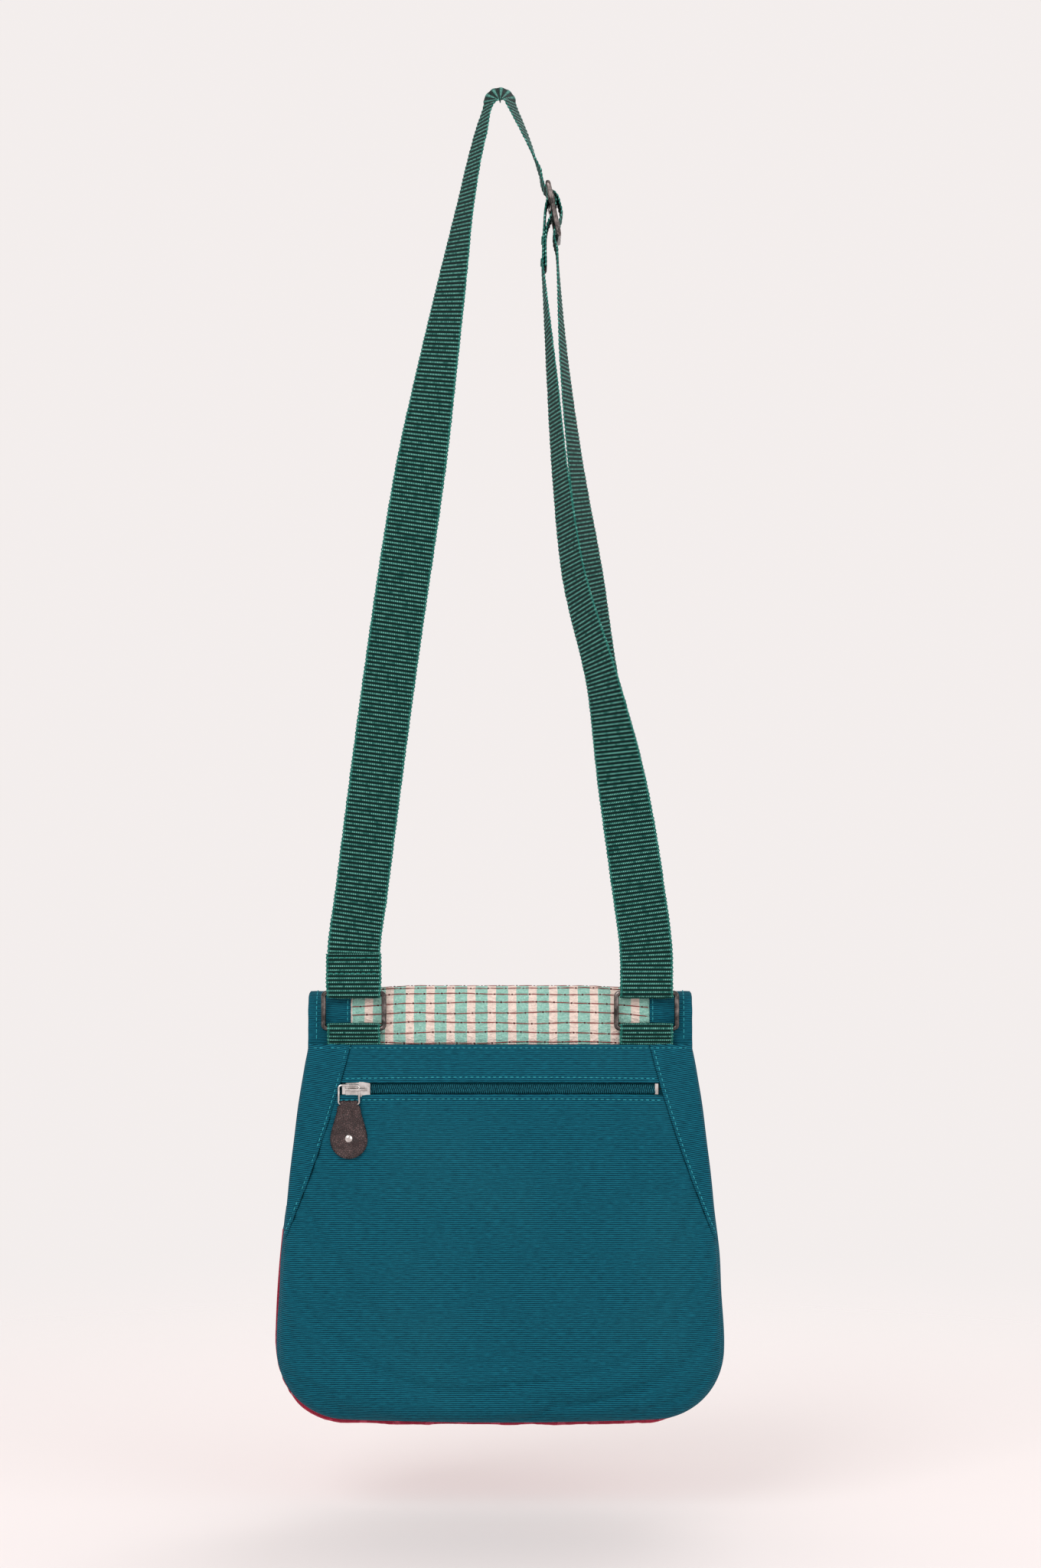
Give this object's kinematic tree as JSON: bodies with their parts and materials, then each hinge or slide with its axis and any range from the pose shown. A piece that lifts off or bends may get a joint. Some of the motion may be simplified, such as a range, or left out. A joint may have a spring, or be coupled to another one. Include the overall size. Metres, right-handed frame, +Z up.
{
  "type": "crossbody purse",
  "caption": "Flat canvas crossbody purse with a quilted patchwork flap over its main compartment, a zipped back pocket and an adjustable webbing strap on wire rings.",
  "frame": {"origin": "seat of the hook: inner face of the strap at its highest point, mid-width", "axes": "+Z up, +X along the zip towards its far end, -Y towards the zip side, +Y towards the flap's front"},
  "size_m": [0.2524, 0.0745, 0.7547],
  "materials": {
    "antique_copper": "antique copper plating on wire",
    "canvas": "teal ribbed cotton canvas",
    "leather": "dark brown smooth leather",
    "lining": "plain cotton",
    "patchwork": "quilted cotton patchwork with running stitches",
    "snap_metal": "antique brass plating on steel",
    "wadding": "soft cotton wadding",
    "webbing": "green ribbed cotton webbing",
    "zip_coil": "dyed nylon coil",
    "zip_metal": "satin nickel",
    "zip_tape": "woven polyester tape"
  },
  "bodies": {
    "strap": {"strap_hook_arch": "webbing", "strap_left_run": "webbing", "strap_upper_run": "webbing", "strap_left_end": "webbing", "strap_right_loop": "webbing", "main_leg_lower": "webbing", "main_leg_upper": "webbing", "return_leg_lower": "webbing", "return_leg_upper": "webbing"},
    "adjuster": {"adjuster_frame": "antique_copper", "adjuster_centre_bar": "antique_copper", "strap_end_loop": "webbing", "strap_bight": "webbing"},
    "rings": {"ring_left": "antique_copper", "ring_right": "antique_copper"},
    "bag": {"back_panel": "canvas", "back_yoke": "canvas", "side_wedge_left": "canvas", "side_wedge_right": "canvas", "gusset": "canvas", "front_panel": "canvas", "main_lining": "lining", "mouth_facing": "lining", "inner_slip_pocket": "lining", "pocket_lining": "lining", "zip_tape_upper": "zip_tape", "zip_tape_lower": "zip_tape", "zip_coil_upper": "zip_coil", "zip_coil_lower": "zip_coil", "zip_end_stops": "zip_metal", "ring_tab_left": "webbing", "ring_tab_right": "webbing", "top_seam_allowance": "canvas", "flap_back_centre": "patchwork", "flap_back_left": "canvas", "flap_back_right": "canvas", "flap_fold": "patchwork", "snap_socket": "snap_metal", "snap_socket_washer": "snap_metal"},
    "flap": {"flap_outer_centre": "patchwork", "flap_side_left": "canvas", "flap_side_right": "canvas", "flap_wadding": "wadding", "flap_lining": "lining", "snap_stud": "snap_metal", "snap_stud_washer": "snap_metal"},
    "zip_slider": {"zip_slider": "zip_metal"},
    "pull_ring": {"pull_ring": "zip_metal"},
    "pull_tab": {"leather_tab": "leather", "tab_rivet": "zip_metal"}
  },
  "joints": [
    {"name": "ring_swing", "type": "hinge", "parent": "strap", "child": "rings", "pos_m": [0, 0, -0.502], "axis": [1, 0, 0], "range_deg": [-60, 30]},
    {"name": "bag_swing", "type": "hinge", "parent": "rings", "child": "bag", "pos_m": [0, 0, -0.5218], "axis": [1, 0, 0], "range_deg": [-80, 0]},
    {"name": "flap_hinge", "type": "hinge", "parent": "bag", "child": "flap", "pos_m": [0, 0.0162, -0.512], "axis": [1, 0, 0], "range_deg": [0, 130], "deforming": ["flap_fold"]},
    {"name": "zip_slide", "type": "slide", "parent": "bag", "child": "zip_slider", "axis": [1, 0, 0], "range_m": [0, 0.155], "deforming": ["zip_coil_upper", "zip_coil_lower"]},
    {"name": "pull_ring_lift", "type": "hinge", "parent": "zip_slider", "child": "pull_ring", "pos_m": [-0.0845, -0.0061, -0.5557], "axis": [-1, 0, 0], "range_deg": [0, 25]},
    {"name": "pull_tab_lift", "type": "hinge", "parent": "pull_ring", "child": "pull_tab", "pos_m": [-0.0845, -0.00465, -0.564], "axis": [-1, 0, 0], "range_deg": [0, 85]},
    {"name": "adjuster_slide", "type": "slide", "parent": "strap", "child": "adjuster", "axis": [0.0802, 0, -0.9968], "range_m": [0, 0.1], "deforming": ["strap_upper_run", "main_leg_upper", "return_leg_upper"]}
  ]
}
